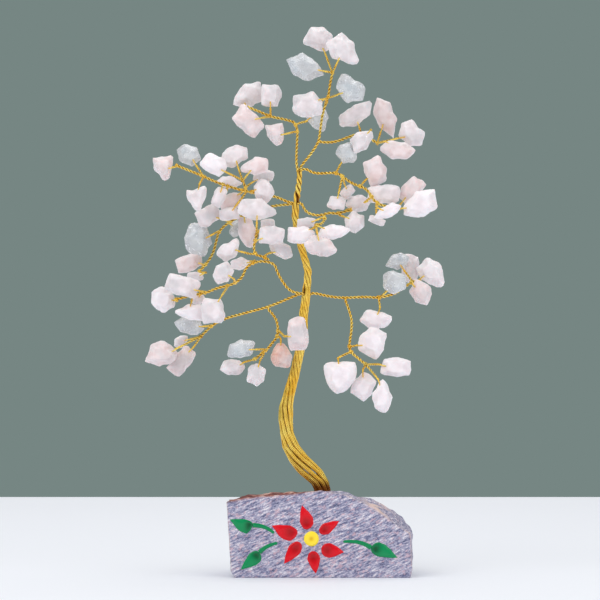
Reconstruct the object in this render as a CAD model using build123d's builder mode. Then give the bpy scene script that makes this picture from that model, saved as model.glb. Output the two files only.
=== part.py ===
import os
from collections import namedtuple
from math import atan2, cos, degrees, hypot, radians, sin

from build123d import *

# A gemstone tree: pairs of brass wire are twisted into a trunk that stands in a sawn stone block.
# Each pair leaves the trunk as a branch, and each twig on it is a hairpin of wire that threads one
# drilled, tumbled quartz chip. The front of the block has a flower in thick enamel.
# Millimetres, +Z up, front towards -Y. The origin is the middle of the block's underside.

STEP = 1.0               # one step of the branch layout below
WIRE_D = 0.5             # the brass wire
PAIR_D = 2.08 * WIRE_D   # two wires twisted together
SIDES = 6                # wire is drawn six-sided

BASE_WIDTH = 67.5
BASE_DEPTH = 38.0
BASE_HEIGHT = 31.5
FOOT_X = 1.0             # the socket is drilled a little right of the middle
FOOT_DROP = 1.5          # the stone's top is this much lower at the socket
SOCKET_D = 7.0
SOCKET_DEPTH = 14.0

CHIP_FLATNESS = 0.58     # thickness of a chip over its width
CHIP_CAP = 0.5           # size of a chip's flat over its outline
HOLE_INSET = 2.0         # from a chip's rim to its drilled hole
HOLE_CLEARANCE = 0.15    # around the wire in the hole
LOOP_LIFT = 0.5          # from a chip's face to the middle of the wire over it
LOOP_REACH = 1.3         # from a chip's rim to where the hairpin closes
WIRE_GAP = 0.06          # between wires that lie side by side

PAINT_RISE = 0.5
FLOWER_CENTRE = (-3.2, 14.0)
FLOWER_CENTRE_D = 5.4
PETAL_GAP = 0.5          # between the flower's middle and each petal
PETAL_WIDTH = 5.0
PETALS = ((105, 9.0), (34, 8.0), (-22, 9.0), (-84, 9.0), (-138, 9.6), (163, 10.6))   # angle and length
LEAF_WIDTH = 4.8
STALK_WIDTH = 1.2
# Each leaf: where its stalk starts and bends, where the leaf starts, and its tip.
LEAVES = (((-17.6, 16.4), (-19.9, 18.5), (-23.5, 18.6), (-31.8, 20.6)),
          ((-15.6, 12.8), (-18.7, 11.8), (-21, 9.4), (-27.6, 3)),
          ((8.4, 13.2), (13.2, 12.8), (18.2, 11), (27.4, 7.2)))

FOOT_Z = BASE_HEIGHT - FOOT_DROP
os.makedirs("parts", exist_ok=True)


def at(point):
    """A layout point, counted from the trunk's foot, as a place in the model."""
    x, y, z = point
    return Vector(x * STEP, y * STEP, FOOT_Z + z * STEP)


def save(part, name):
    part.label = name
    export_step(part, f"parts/{name}.step")


# The block: a sawn front outline that shrinks and roughens towards the broken back.
FRONT = [(-0.475, 0.06), (-0.492, 0.6), (-0.5, 0.87), (-0.38, 0.92), (-0.15, 0.96), (0.0, 1.0),
         (0.13, 0.95), (0.28, 0.81), (0.4, 0.61), (0.48, 0.51), (0.49, 0.08), (0.48, 0.0), (-0.45, 0.0)]
MIDDLE = [(-0.475, 0.06), (-0.49, 0.6), (-0.49, 0.87), (-0.36, 0.94), (-0.15, 0.953), (0.0, 0.953),
          (0.15, 0.953), (0.32, 0.84), (0.45, 0.68), (0.5, 0.48), (0.5, 0.1), (0.48, 0.0), (-0.45, 0.0)]
BACK = [(-0.42, 0.08), (-0.44, 0.5), (-0.38, 0.74), (-0.27, 0.84), (-0.13, 0.9), (0.02, 0.9),
        (0.14, 0.88), (0.27, 0.72), (0.37, 0.6), (0.43, 0.4), (0.42, 0.1), (0.4, 0.0), (-0.39, 0.0)]


def skinned(rings):
    """A solid with flat faces through rings of corners, each with as many corners as the next."""
    faces = [Face(Wire.make_polygon(ring)) for ring in (rings[0][::-1], rings[-1])]
    for near, far in zip(rings, rings[1:]):
        for side in range(len(near)):
            after = (side + 1) % len(near)
            a, b, c, d = near[side], near[after], far[after], far[side]
            if abs((b - a).cross(d - a).normalized().dot(c - a)) < 1e-6:
                faces.append(Face(Wire.make_polygon([a, b, c, d])))
            else:
                faces += [Face(Wire.make_polygon([a, b, c])), Face(Wire.make_polygon([a, c, d]))]
    return Solid(Shell(faces))


with BuildPart() as stone_base:
    add(skinned([[Vector(x * BASE_WIDTH, depth * BASE_DEPTH, z * BASE_HEIGHT) for x, z in outline]
                 for outline, depth in ((FRONT, -0.5), (MIDDLE, 0), (BACK, 0.5))]))
    with BuildSketch(Plane.XY.offset(FOOT_Z - SOCKET_DEPTH)):
        with Locations((FOOT_X, 0)):
            Circle(SOCKET_D / 2)
    extrude(amount=BASE_HEIGHT, mode=Mode.SUBTRACT)
save(stone_base.part, "stone_base")

# The trunk: each strand keeps its place in a turning ring, one runs up the middle, and three
# strands leave at each junction, where the others go straight on before they close up.
# Each level has: height, middle of the trunk, turn of the ring, spread of the ring in x and in y.
LOW_RING = 1.36 * PAIR_D
MID_RING = 1.06 * PAIR_D
TOP_RING = 0.66 * PAIR_D
LOW_LEVELS = [(0, 1, 300, 1.35, 1.35), (3, 0, 290, 1.4, 1.35), (7, -3.5, 272, 1.75, 1.4),
              (11.5, -7.5, 250, 1.7, 1.4), (16, -10.5, 228, 1.5, 1.3), (21, -12, 206, 1.3, 1.25),
              (26, -12.5, 186, 1.25, 1.2), (31, -12.3, 166, 1.15, 1.15), (36, -11, 146, 1.05, 1.05),
              (41.5, -9.5, 124, 1, 1), (47, -8.2, 101, 1, 1), (52.5, -7, 78, 1, 1),
              (58.5, -6.1, 54, 1, 1), (64.5, -5.9, 28, 1, 1), (71, -5, 0, 1, 1)]
LOW_LEAVE = (73, -4.8, 0, 1, 1)
MID_LEVELS = [(76.5, -4.5, 200, 1, 1), (80, -4.4, 172, 1, 1), (83.5, -5.3, 144, 1, 1),
              (87.5, -6.5, 114, 1, 1), (91.5, -7.6, 86, 1, 1), (95.5, -8.3, 58, 1, 1),
              (99.5, -9, 30, 1, 1), (104, -8.8, 0, 1, 1)]
MID_LEAVE = (105.8, -8.75, 0, 1, 1)
TOP_LEVELS = [(109, -8, -10, 1.3, 1.3), (112.5, -7.5, -40, 1, 1), (116, -7.5, -60, 1, 1)]
# The place of each strand in the ring of eight, the ring of five and the ring of three.
PLACES = {
    "low_right": (0, None, None),
    "low_left": (135, None, None),
    "arch": (225, None, None),
    "upper_left": (45, 180, None),
    "mid_left": (315, 108, None),
    "mid_right": (180, -36, None),
    "right_upper": (270, 36, 24),
    "crown_left": (90, 252, 264),
    "crown": (None, None, 144),
}


def ring_point(level, place, radius):
    z, x, turn, wide, deep = level
    if place is None:
        return at((x, 0, z))
    angle = radians(place + turn)
    return at((x, 0, z)) + Vector(radius * wide * cos(angle), radius * deep * sin(angle), 0)


def strand_route(name):
    """The middle of one strand, level by level, from the foot to where it leaves the trunk."""
    low, mid, top = PLACES[name]
    route = [ring_point(level, low, LOW_RING) for level in LOW_LEVELS]
    if mid is not None or name == "crown":
        route.append(ring_point(LOW_LEAVE, low, LOW_RING))
        route += [ring_point(level, mid, MID_RING) for level in MID_LEVELS]
    if top is not None:
        route.append(ring_point(MID_LEAVE, mid, MID_RING))
        route += [ring_point(level, top, TOP_RING) for level in TOP_LEVELS]
    return route


STRANDS = {name: strand_route(name) for name in PLACES}

SPOKES = [Vector(PAIR_D / 2, 0, 0).rotate(Axis.Z, 360 * corner / SIDES) for corner in range(SIDES)]
strands = []
for route in STRANDS.values():
    below = route[0] - Vector(0, 0, SOCKET_DEPTH)
    strands.append(skinned([[point + spoke for spoke in SPOKES] for point in [below] + route]))
save(Compound(children=strands), "trunk_wires")

with BuildPart() as epoxy_fill:
    with BuildSketch(Plane.XY.offset(FOOT_Z - SOCKET_DEPTH)):
        with Locations((FOOT_X, 0)):
            Circle(SOCKET_D / 2)
        with Locations(*[(route[0].X, route[0].Y) for route in STRANDS.values()]):
            RegularPolygon(PAIR_D / 2, SIDES, mode=Mode.SUBTRACT)
    extrude(amount=SOCKET_DEPTH)
save(epoxy_fill.part, "epoxy_fill")

# The outlines of the chips, for a length and a width of one.
OUTLINES = {
    "block": [(-0.5, -0.4), (-0.12, -0.5), (0.46, -0.44), (0.5, 0.34), (0.08, 0.5), (-0.45, 0.42)],
    "wedge": [(-0.5, -0.32), (-0.05, -0.5), (0.42, -0.16), (0.5, 0.12), (0.02, 0.5), (-0.44, 0.38)],
    "shard": [(-0.5, -0.26), (-0.08, -0.5), (0.34, -0.28), (0.5, 0.36), (0.12, 0.5), (-0.36, 0.34)],
    "kidney": [(-0.5, -0.05), (-0.28, -0.46), (0.12, -0.38), (0.5, -0.2), (0.3, 0.4), (-0.26, 0.5)],
    "oval": [(-0.5, -0.08), (-0.2, -0.5), (0.3, -0.42), (0.5, 0.06), (0.18, 0.5), (-0.32, 0.4)],
    "almond": [(-0.5, -0.04), (-0.14, -0.46), (0.24, -0.42), (0.5, 0.06), (0.16, 0.5), (-0.22, 0.42)],
    "tri": [(-0.5, -0.42), (-0.02, -0.4), (0.5, -0.1), (0.48, 0.14), (-0.04, 0.42), (-0.46, 0.5)],
    "heart": [(-0.36, -0.46), (0.14, -0.44), (0.5, -0.08), (0.46, 0.14), (0.1, 0.44), (-0.4, 0.5),
              (-0.5, 0.16)],
}
# A chip: its place along the branch, outline, middle, length and width, and how far it is turned.
# A chip that hangs has a name, and the side that its hole is on.
Chip = namedtuple("Chip", "twig outline middle size turn name hole", defaults=(None, None))
Spray = namedtuple("Spray", "parent route chips")

SPRAYS = {
    "low_right": Spray("trunk", [
        (-1.8, -0.3, 71.8), (3.5, 1.5, 70.5), (9, 3, 70), (16.5, 5, 70.5), (21.5, 6.5, 70),
        (27.5, 8.5, 71.5), (31, 10, 74), (34, 11, 76)], [
        Chip(4, "oval", (27, 1.5, 76), (9, 8.5), -40),
        Chip(4, "shard", (20, 5.5, 62), (12, 7), -15, "pendant_right_upper", 65),
        Chip(7, "almond", (28.5, 12.5, 83.5), (9.5, 6), 5),
        Chip(7, "block", (33.5, 18, 81), (10, 6.5), -80),
        Chip(7, "wedge", (41, 14, 79), (12, 9), -55),
        Chip(7, "almond", (37, 7, 72), (11, 7.5), -70)]),
    "low_right_hanging": Spray("low_right", [
        (9, 3, 70), (11.5, 0, 63), (11.5, -2, 58.5), (10.5, -4, 53), (11, -5.5, 50.5),
        (13.5, -7, 48.5), (16.5, -8.5, 46)], [
        Chip(3.3, "block", (19, -4, 54), (10, 9), 70),
        Chip(4, "heart", (7, -8.5, 41.5), (12.5, 11.5), -90, "pendant_heart", 95),
        Chip(6, "block", (15.5, -5.5, 38), (9, 7.5), 60, "pendant_right_middle", 90),
        Chip(6, "block", (27.5, -3, 45), (11, 7), 10),
        Chip(6, "wedge", (22.5, -11, 35), (12, 7), 85, "pendant_right_lowest", 105)]),
    "low_left": Spray("trunk", [
        (-7.4, 2.6, 71.6), (-18, 3, 67), (-25.5, 3.5, 65), (-35, 5.5, 62.5), (-39.5, 7, 60),
        (-43.5, 8.5, 56)], [
        Chip(5, "wedge", (-57.5, 5.5, 49.5), (11.5, 10), -5),
        Chip(5, "block", (-50.5, 11, 47), (11.5, 6.5), 60),
        Chip(5, "almond", (-51, 17, 54), (6.5, 4.5), 20),
        Chip(4, "oval", (-47.5, 4, 60), (11.5, 6.5), -5)]),
    "low_left_hanging": Spray("low_left", [
        (-19.5, 3.1, 66.6), (-17, 1.5, 64), (-15.5, 0, 61.5), (-15, -2, 56.5), (-17.5, -4, 53.5),
        (-19, -5.5, 51.5), (-23.5, -8.5, 48)], [
        Chip(2.6, "block", (-8, -14, 57), (12.5, 7.5), -85),
        Chip(3, "wedge", (-14, -5.5, 49.5), (10, 7.5), 95, "pendant_peach", 92),
        Chip(5, "almond", (-28.5, -12.5, 51.5), (11.5, 7), 10),
        Chip(6, "oval", (-31.5, -4, 45), (9, 6), 15),
        Chip(5, "oval", (-23, -10, 42.5), (9, 7), 80, "pendant_left_low", 75)]),
    "arch": Spray("trunk", [
        (-7.2, -2.2, 71.6), (-11, -2.5, 72.5), (-14, -3, 76.5), (-15.5, -3.5, 79.5), (-16.5, -4, 82.5),
        (-21, -5, 83.5), (-25, -5.5, 82.5), (-27, -6.5, 80.5), (-28, -7, 77.5), (-30.5, -7.5, 75.5),
        (-33, -8.5, 74.5), (-37.5, -9, 73.5), (-40.5, -10, 72), (-46, -10, 71), (-52, -10, 69.5)], [
        Chip(6, "wedge", (-28.5, -1.5, 82.5), (8, 4.5), 10),
        Chip(9, "oval", (-35, -15.5, 79), (8.5, 7), 70),
        Chip(10, "block", (-38.5, -17, 65.5), (9.5, 8), 80),
        Chip(12, "block", (-49.5, -12.5, 74.5), (12, 7.5), -5),
        Chip(13, "tri", (-47, -10, 65), (10, 6.5), 170),
        Chip(12.5, "block", (-44, -5, 69.5), (5, 3.5), 10),
        Chip(14, "oval", (-57, -5.5, 69.5), (10, 8.5), -30)]),
    "arch_up": Spray("arch", [
        (-16.5, -4, 82.5), (-20.5, -6.5, 85), (-23.5, -7.5, 85.5), (-24, -8.5, 88.5), (-23, -9, 92.5)], [
        Chip(1, "oval", (-14, -4, 87.5), (9.5, 6), -35),
        Chip(2, "wedge", (-32.5, -8.5, 87.5), (10, 6.5), 55),
        Chip(3.5, "block", (-17.5, -12.5, 92.5), (9, 6.5), -15),
        Chip(4, "block", (-19, 0, 97), (5.5, 3.5), 15),
        Chip(4, "wedge", (-22.5, -11, 101.5), (14.5, 8), -20)]),
    "upper_left": Spray("trunk", [
        (-12, 0, 105), (-16.5, -1.5, 107), (-26.5, -3, 108.5), (-33.5, -3.5, 110.5), (-39, -4, 112.5),
        (-42, -4, 114), (-47, -4, 116), (-52, -4, 118)], [
        Chip(7, "tri", (-56.5, -7, 117), (8.5, 8), -80),
        Chip(5, "oval", (-47.5, -1.5, 122), (9.5, 7.5), -20),
        Chip(5, "tri", (-44.5, -8.5, 105.5), (8.5, 7.5), -80, "pendant_left_high", 80),
        Chip(3.3, "block", (-36.5, -7, 106.5), (7, 4.5), 80),
        Chip(2.3, "block", (-32.5, 0, 105), (8.5, 6), 10),
        Chip(2, "block", (-33, -4, 100.5), (7, 5), 10),
        Chip(1.8, "oval", (-20.5, -6.5, 109), (9.5, 7), -75),
        Chip(3, "almond", (-33, 3, 112), (11.5, 4.5), -20)]),
    "left_hub": Spray("upper_left", [
        (-26.5, -3, 108.5), (-27, -4, 110), (-28, -5.5, 112.5)], [
        Chip(2, "block", (-38, -11, 118), (9, 7), -35),
        Chip(2, "oval", (-31, -3, 121.5), (11.5, 7), 35),
        Chip(2, "wedge", (-23.5, -8.5, 117.5), (10.5, 6.5), 175),
        Chip(1, "block", (-20.5, -1.5, 114.5), (7.5, 4.5), 10)]),
    "mid_left": Spray("trunk", [
        (-10, 2.5, 104.2), (-18, 3, 103.5), (-27.5, 5.5, 100.5), (-33, 7.5, 98), (-37, 9, 94.5),
        (-38, 10, 90.5), (-39, 10.5, 86.5), (-41.5, 10.5, 82.5), (-44.5, 11, 79.5)], [
        Chip(2, "wedge", (-26.5, 1.5, 93.5), (12, 7), -80),
        Chip(3, "oval", (-31, 12.5, 95.5), (6.5, 4.5), 80),
        Chip(3, "block", (-40.5, 1.5, 100), (8.5, 6.5), 10),
        Chip(4, "oval", (-44.5, 5.5, 91), (12.5, 9.5), -65),
        Chip(7, "block", (-48, 12.5, 83), (9.5, 6.5), 15),
        Chip(8, "block", (-45.5, 5.5, 78), (6, 3.5), 0)]),
    "mid_right": Spray("trunk", [
        (-6.6, -1.8, 104.4), (-5.2, -2, 101.2), (-2, -2, 100), (0.5, -2, 100), (3.5, -2, 101),
        (6, -2, 100.5), (11.5, -2, 102)], [
        Chip(6, "oval", (14, 3, 104.5), (9.5, 6.5), 5),
        Chip(5, "oval", (12.5, -4, 97.5), (8, 7), 35)]),
    "front": Spray("mid_right", [
        (0.5, -2, 100), (1.8, -4, 99.6), (1.2, -8, 97), (-1.5, -11.5, 96)], [
        Chip(1, "block", (-5, -6, 97.2), (7, 4), 5),
        Chip(2.4, "block", (-7, -11, 92.5), (9.5, 6), 5),
        Chip(3, "wedge", (5, -13.5, 93.8), (12, 5.5), -10),
        Chip(3, "oval", (0, -19.5, 88.5), (12.5, 7), -5)]),
    "right_upper": Spray("trunk", [
        (-5, -1, 116.9), (-2, -1.5, 115), (6, -4, 115.5), (8, -5.5, 114), (12, -7.5, 111), (17, -10, 109.5),
        (20, -12, 103.5), (28, -8.5, 102.5)], [
        Chip(2, "oval", (10, -1.5, 122.5), (8.5, 7.5), -60),
        Chip(3, "block", (6, -5.5, 104.5), (6.5, 5), -5),
        Chip(3, "block", (10, 1.5, 108.5), (5.5, 4), 30),
        Chip(4.5, "block", (20, -5.5, 116), (9.5, 7.5), -55),
        Chip(5.5, "block", (22.5, -7, 107.5), (11.5, 7), -5),
        Chip(6, "almond", (24.5, -17, 101), (12, 4.5), 25),
        Chip(6, "block", (20.5, -8.5, 98), (6.5, 3), -10),
        Chip(7, "block", (33, -3, 109), (10, 7), 40),
        Chip(7, "wedge", (35.5, -12.5, 103.5), (13.5, 9.5), 215)]),
    "crown_left": Spray("trunk", [
        (-8.6, 0, 119), (-8.5, 1, 124), (-8, 2, 133.5), (-12.5, 3, 135), (-18, 3, 136), (-23.5, 3, 138.5),
        (-27.5, 3.5, 140)], [
        Chip(6, "wedge", (-26.5, 8.5, 144), (12.5, 9), 205),
        Chip(4, "block", (-18, 0, 143.5), (8, 7.5), -80),
        Chip(4, "block", (-26, -3, 134), (11.5, 7.5), -55),
        Chip(1.7, "tri", (-16, -3, 129), (8.5, 7), -65),
        Chip(2, "oval", (-1, 5.5, 136.5), (12.5, 7.5), -80)]),
    "crown": Spray("trunk", [
        (-6.5, 0.7, 118.5), (-3.5, 0, 122), (-0.5, -1.5, 126.5), (0, -1.5, 130), (0.5, -2, 134.5),
        (1.5, -3, 139), (3, -3, 142.5), (3.5, -3.5, 147), (4.5, -4, 151.5)], [
        Chip(8, "block", (-0.5, 3, 164.5), (10, 8.5), -15),
        Chip(8, "wedge", (8.5, -7, 159), (13, 9.5), -40),
        Chip(8, "shard", (-5.5, -5.5, 153), (12.5, 9), -60),
        Chip(6, "kidney", (11, -7, 145.5), (13, 9.5), 145),
        Chip(5.5, "oval", (-4.5, -8.5, 139.5), (12.5, 9.5), 0)]),
    "crown_right": Spray("crown", [
        (-0.5, -1.5, 126.5), (5.5, 0, 126.5), (11.5, 2, 129), (15, 3.5, 130), (17.5, 5, 128.5),
        (21, 5.5, 126.5)], [
        Chip(3, "shard", (13, 3, 136.5), (14.5, 7), 25),
        Chip(4, "wedge", (15.5, -4, 127), (9.5, 7), 40),
        Chip(5, "almond", (24, 11, 136.5), (15.5, 7.5), 95),
        Chip(5, "oval", (33.5, 3, 129.5), (11.5, 8), -40),
        Chip(5, "almond", (28, -3, 123.5), (14, 7), -15)]),
}
TILTS = (12, -8, 0, 8, -14)    # the chips lean back and forth by these, in turn


def rim_distance(chip, direction):
    """How far the rim of a chip is from its middle, in one direction on its face."""
    length, width = (side * STEP for side in chip.size)
    corners = [(x * length, y * width) for x, y in OUTLINES[chip.outline]]
    dx, dy = cos(radians(direction)), sin(radians(direction))
    for (ax, ay), (bx, by) in zip(corners, corners[1:] + corners[:1]):
        across = dx * (by - ay) - dy * (bx - ax)
        if abs(across) < 1e-9:
            continue
        reach = (ax * (by - ay) - ay * (bx - ax)) / across
        share = (ax * dy - ay * dx) / across
        if reach > 0 and -1e-9 <= share <= 1 + 1e-9:
            return reach
    return 0


def chip_frame(chip, number):
    """The plane of a chip: its normal faces the front, its x runs along the chip."""
    along = Vector(cos(radians(chip.turn)), 0, sin(radians(chip.turn)))
    plane = Plane(at(chip.middle), x_dir=along, z_dir=(0, -1, 0))
    if chip.name:
        return plane
    return plane.rotated((TILTS[number % len(TILTS)], TILTS[(number + 2) % len(TILTS)], 0))


def fit_chip(chip, number, start):
    """Where the hole of a chip is on its face, and the route of the hairpin that threads it."""
    plane = chip_frame(chip, number)
    if chip.hole is None:
        aim = plane.to_local_coords(start)
        direction = degrees(atan2(aim.Y, aim.X))
    else:
        direction = chip.hole - chip.turn
    rim = rim_distance(chip, direction)
    share = max(1 - HOLE_INSET / rim, CHIP_CAP)
    half = CHIP_FLATNESS * chip.size[1] * STEP / 2
    height = half * (1 - share) / (1 - CHIP_CAP) + LOOP_LIFT
    dx, dy = cos(radians(direction)), sin(radians(direction))
    hole = (share * rim * dx, share * rim * dy)
    close = plane.from_local_coords(((rim + LOOP_REACH) * dx, (rim + LOOP_REACH) * dy, 0))
    leg = (start - close).normalized()
    side = (plane.z_dir - leg * plane.z_dir.dot(leg)).normalized() * (0.54 * WIRE_D)
    route = [start + side, close + side,
             plane.from_local_coords((*hole, height)), plane.from_local_coords((*hole, -height)),
             close - side, start - side]
    return plane, hole, half, route


def wire_along(route, diameter):
    """A wire along a route, with a six-sided section on the middle plane of each bend."""
    runs = [(b - a).normalized() for a, b in zip(route, route[1:])]
    across = Plane(route[0], z_dir=runs[0]).x_dir
    sections = []
    for index, point in enumerate(route):
        into, away = runs[max(index - 1, 0)], runs[min(index, len(runs) - 1)]
        mitre = Plane(point, z_dir=into + away).z_dir
        section = []
        for corner in range(SIDES):
            spoke = across.rotate(Axis((0, 0, 0), into), 360 * corner / SIDES) * (diameter / 2)
            section.append(point + spoke - into * (mitre.dot(spoke) / mitre.dot(into)))
        sections.append(section)
        if into.cross(away).length > 1e-6:
            across = across.rotate(Axis((0, 0, 0), into.cross(away)), into.get_angle(away))
    return skinned(sections)


def cut_chip(chip, plane, hole, half):
    """One tumbled chip, thickest in the middle and thin at its rim, with its drilled hole."""
    length, width = (side * STEP for side in chip.size)
    with BuildPart() as stone:
        add(skinned([[plane.from_local_coords((x * length * size, y * width * size, height))
                      for x, y in OUTLINES[chip.outline]]
                     for size, height in ((CHIP_CAP, -half), (1, 0), (CHIP_CAP, half))]))
        with BuildSketch(plane.offset(-2 * half)):
            with Locations(hole):
                if chip.name:
                    Circle(WIRE_D / 2 + HOLE_CLEARANCE)
                else:
                    RegularPolygon(WIRE_D / 2 + HOLE_CLEARANCE, SIDES, major_radius=False)
        extrude(amount=4 * half, mode=Mode.SUBTRACT)
    return stone.part.solid()


def along(route, place):
    """A point on a route, where 2.5 is half way from its third point to its fourth."""
    index = min(int(place), len(route) - 2)
    return route[index] + (route[index + 1] - route[index]) * (place - index)


def pull_clear(route, legs, taken):
    """Shortens the free ends of a wire until it lies clear of the wires that are there already."""
    for _ in range(80):
        for end, bend in legs:
            route[end] += (route[bend] - route[end]).normalized() * (0.1 * STEP)
        line = Wire.make_polygon(route, close=False)
        if all(line.distance_to(other) >= gap for other, gap in taken):
            return route
    raise ValueError("a wire finds no room at its branch")


stems = {}
for name, spray in SPRAYS.items():
    route = [at(point) for point in spray.route]
    stem = list(route)
    if spray.parent == "trunk":
        top = STRANDS[name][-1]
        stem = [top, top + Vector(0, 0, 0.6 * STEP)] + stem
    else:
        pull_clear(stem, [(0, 1)], [(stems[spray.parent], PAIR_D + WIRE_GAP)])
    stems[name] = Wire.make_polygon(stem, close=False)
    taken = [(stems[name], (PAIR_D + WIRE_D) / 2 + WIRE_GAP)]
    if spray.parent != "trunk":
        taken.append((stems[spray.parent], (PAIR_D + WIRE_D) / 2 + WIRE_GAP))
    wires = [wire_along(stem, PAIR_D)]
    stones = []
    for number, chip in enumerate(spray.chips):
        plane, hole, half, hairpin = fit_chip(chip, number, along(route, chip.twig))
        hairpin = pull_clear(hairpin, [(0, 1), (5, 4)], taken)
        taken.append((Wire.make_polygon(hairpin, close=False), WIRE_D + WIRE_GAP))
        wires.append(wire_along(hairpin, WIRE_D))
        stone = cut_chip(chip, plane, hole, half)
        if chip.name is None:
            stones.append(stone)
            continue
        save(stone, chip.name)
        pivot = plane.from_local_coords((*hole, 0))
        print("pendant", chip.name, [round(v, 3) for v in pivot], [round(v, 3) for v in plane.z_dir])
    save(Compound(children=wires), f"{name}_wires")
    save(Compound(children=stones), f"{name}_chips")

# The enamel: each petal lies a little clear of the middle, and the leaves are on stalks.
front = Plane.XZ.offset(BASE_DEPTH / 2)
with BuildPart() as flower_centre_paint:
    with BuildSketch(front):
        with Locations(FLOWER_CENTRE):
            Circle(FLOWER_CENTRE_D / 2)
    extrude(amount=PAINT_RISE)
save(flower_centre_paint.part, "flower_centre_paint")

with BuildPart() as petal_paint:
    for angle, length in PETALS:
        near = FLOWER_CENTRE_D / 2 + PETAL_GAP
        with BuildSketch(Plane(front.location * Pos(*FLOWER_CENTRE) * Rot(0, 0, angle))):
            with BuildLine():
                round_end = ThreePointArc((near + PETAL_WIDTH / 2, PETAL_WIDTH / 2), (near, 0),
                                          (near + PETAL_WIDTH / 2, -PETAL_WIDTH / 2))
                Polyline(round_end @ 1, (near + 0.65 * length, -0.32 * PETAL_WIDTH), (near + length, 0),
                         (near + 0.65 * length, 0.32 * PETAL_WIDTH), round_end @ 0)
            make_face()
        extrude(amount=PAINT_RISE)
save(petal_paint.part, "petal_paint")

with BuildPart() as leaf_paint:
    for start, bend, root, tip in LEAVES:
        run, rise = tip[0] - root[0], tip[1] - root[1]
        length = hypot(run, rise)
        with BuildSketch(front):
            with BuildLine():
                Polyline(start, bend, root, (root[0] + 0.3 * run, root[1] + 0.3 * rise))
            trace(line_width=STALK_WIDTH)
            with Locations(root):
                Polygon((0, 0), (0.22 * length, -0.5 * LEAF_WIDTH), (0.6 * length, -0.42 * LEAF_WIDTH),
                        (length, 0), (0.6 * length, 0.42 * LEAF_WIDTH), (0.22 * length, 0.5 * LEAF_WIDTH),
                        rotation=degrees(atan2(rise, run)))
        extrude(amount=PAINT_RISE)
save(leaf_paint.part, "leaf_paint")
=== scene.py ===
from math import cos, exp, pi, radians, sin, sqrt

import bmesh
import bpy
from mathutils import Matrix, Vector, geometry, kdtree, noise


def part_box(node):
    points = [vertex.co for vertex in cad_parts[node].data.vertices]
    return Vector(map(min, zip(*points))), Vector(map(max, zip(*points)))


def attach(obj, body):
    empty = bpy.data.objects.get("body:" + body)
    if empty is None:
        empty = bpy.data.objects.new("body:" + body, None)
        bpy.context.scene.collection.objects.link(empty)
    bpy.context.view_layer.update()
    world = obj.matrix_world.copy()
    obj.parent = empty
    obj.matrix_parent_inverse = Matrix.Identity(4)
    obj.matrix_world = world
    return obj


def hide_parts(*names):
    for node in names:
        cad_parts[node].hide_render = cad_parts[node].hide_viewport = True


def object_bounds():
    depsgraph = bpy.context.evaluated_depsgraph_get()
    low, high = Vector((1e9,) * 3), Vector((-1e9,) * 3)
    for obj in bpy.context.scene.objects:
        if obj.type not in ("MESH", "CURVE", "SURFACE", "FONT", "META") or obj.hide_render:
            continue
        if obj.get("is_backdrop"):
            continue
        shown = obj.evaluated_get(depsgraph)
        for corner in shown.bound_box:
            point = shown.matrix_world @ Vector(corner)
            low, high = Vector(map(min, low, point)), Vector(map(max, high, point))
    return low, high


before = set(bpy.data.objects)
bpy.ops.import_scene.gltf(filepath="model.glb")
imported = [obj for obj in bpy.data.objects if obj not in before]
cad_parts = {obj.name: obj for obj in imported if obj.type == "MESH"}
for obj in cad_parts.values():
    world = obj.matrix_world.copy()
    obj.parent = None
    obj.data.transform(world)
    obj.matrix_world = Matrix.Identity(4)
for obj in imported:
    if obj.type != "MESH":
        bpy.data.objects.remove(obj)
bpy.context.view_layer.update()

# %% [markdown]
# # A gemstone tree ornament
# A little tree of gold-coloured craft wire carries drilled quartz chips on twisted loops. It stands in
# a sawn stone block with a flower painted on its front. The solids of the tree are loaded above, in
# metres, with the block's underside on the table at z = 0. This lesson dresses them: each plain solid
# gives the place and size of its piece, and Blender gives it its real surface.

MM = 0.001
scene = bpy.context.scene
scene.view_settings.view_transform = "Standard"


def clamp(value, low=0, high=1):
    """A value kept between two limits."""
    return min(max(value, low), high)


# %% [markdown]
# ## Camera
# The photograph was taken from straight in front, at about half the height of the tree, from far
# enough away that the block shows only a thin strip of its top. A long lens 1.2 m away gives the same
# view. It is a plain camera with no tilt, so upright things stay upright.

# %% Camera
# In millimetres: the point in the middle of the picture, how far away the camera is, and the width that
# the picture shows at that distance.
MIDDLE_X, MIDDLE_Z = -7.26, 99.3
DISTANCE = 1200
SHOWN_WIDTH = 217.8
camera = bpy.data.objects.new("camera", bpy.data.cameras.new("camera"))
scene.collection.objects.link(camera)
camera.location = (MIDDLE_X * MM, -DISTANCE * MM, MIDDLE_Z * MM)
camera.rotation_euler = (pi / 2, 0, 0)
camera.data.sensor_width = 36
camera.data.lens = camera.data.sensor_width * DISTANCE / SHOWN_WIDTH
scene.camera = camera
print("camera lens, mm:", round(camera.data.lens, 1))

# %% [markdown]
# ## Table, wall and light
# The tree stands on a white table in front of a plain grey-green wall. The table is one flat sheet
# that ends where its far edge shows in the photograph. The wall needs no mesh: the world shows its
# colour to the camera and in reflections, and gives a soft white light to everything else. Three large
# soft lamps add the gentle difference between the lit side and the shaded side.


# %% Colours and finishes
def tint(red, green, blue):
    """A colour read as 0 to 255 on a screen, as the linear values that Blender mixes."""
    shares = [value / 255 for value in (red, green, blue)]
    return [s / 12.92 if s <= 0.04045 else ((s + 0.055) / 1.055) ** 2.4 for s in shares] + [1]


def new_finish(name):
    """A new material, its nodes and its main shader."""
    finish = bpy.data.materials.new(name)
    finish.use_nodes = True
    return finish, finish.node_tree, finish.node_tree.nodes["Principled BSDF"]


print("white on a screen is", tint(255, 255, 255), "in the mix")

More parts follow.
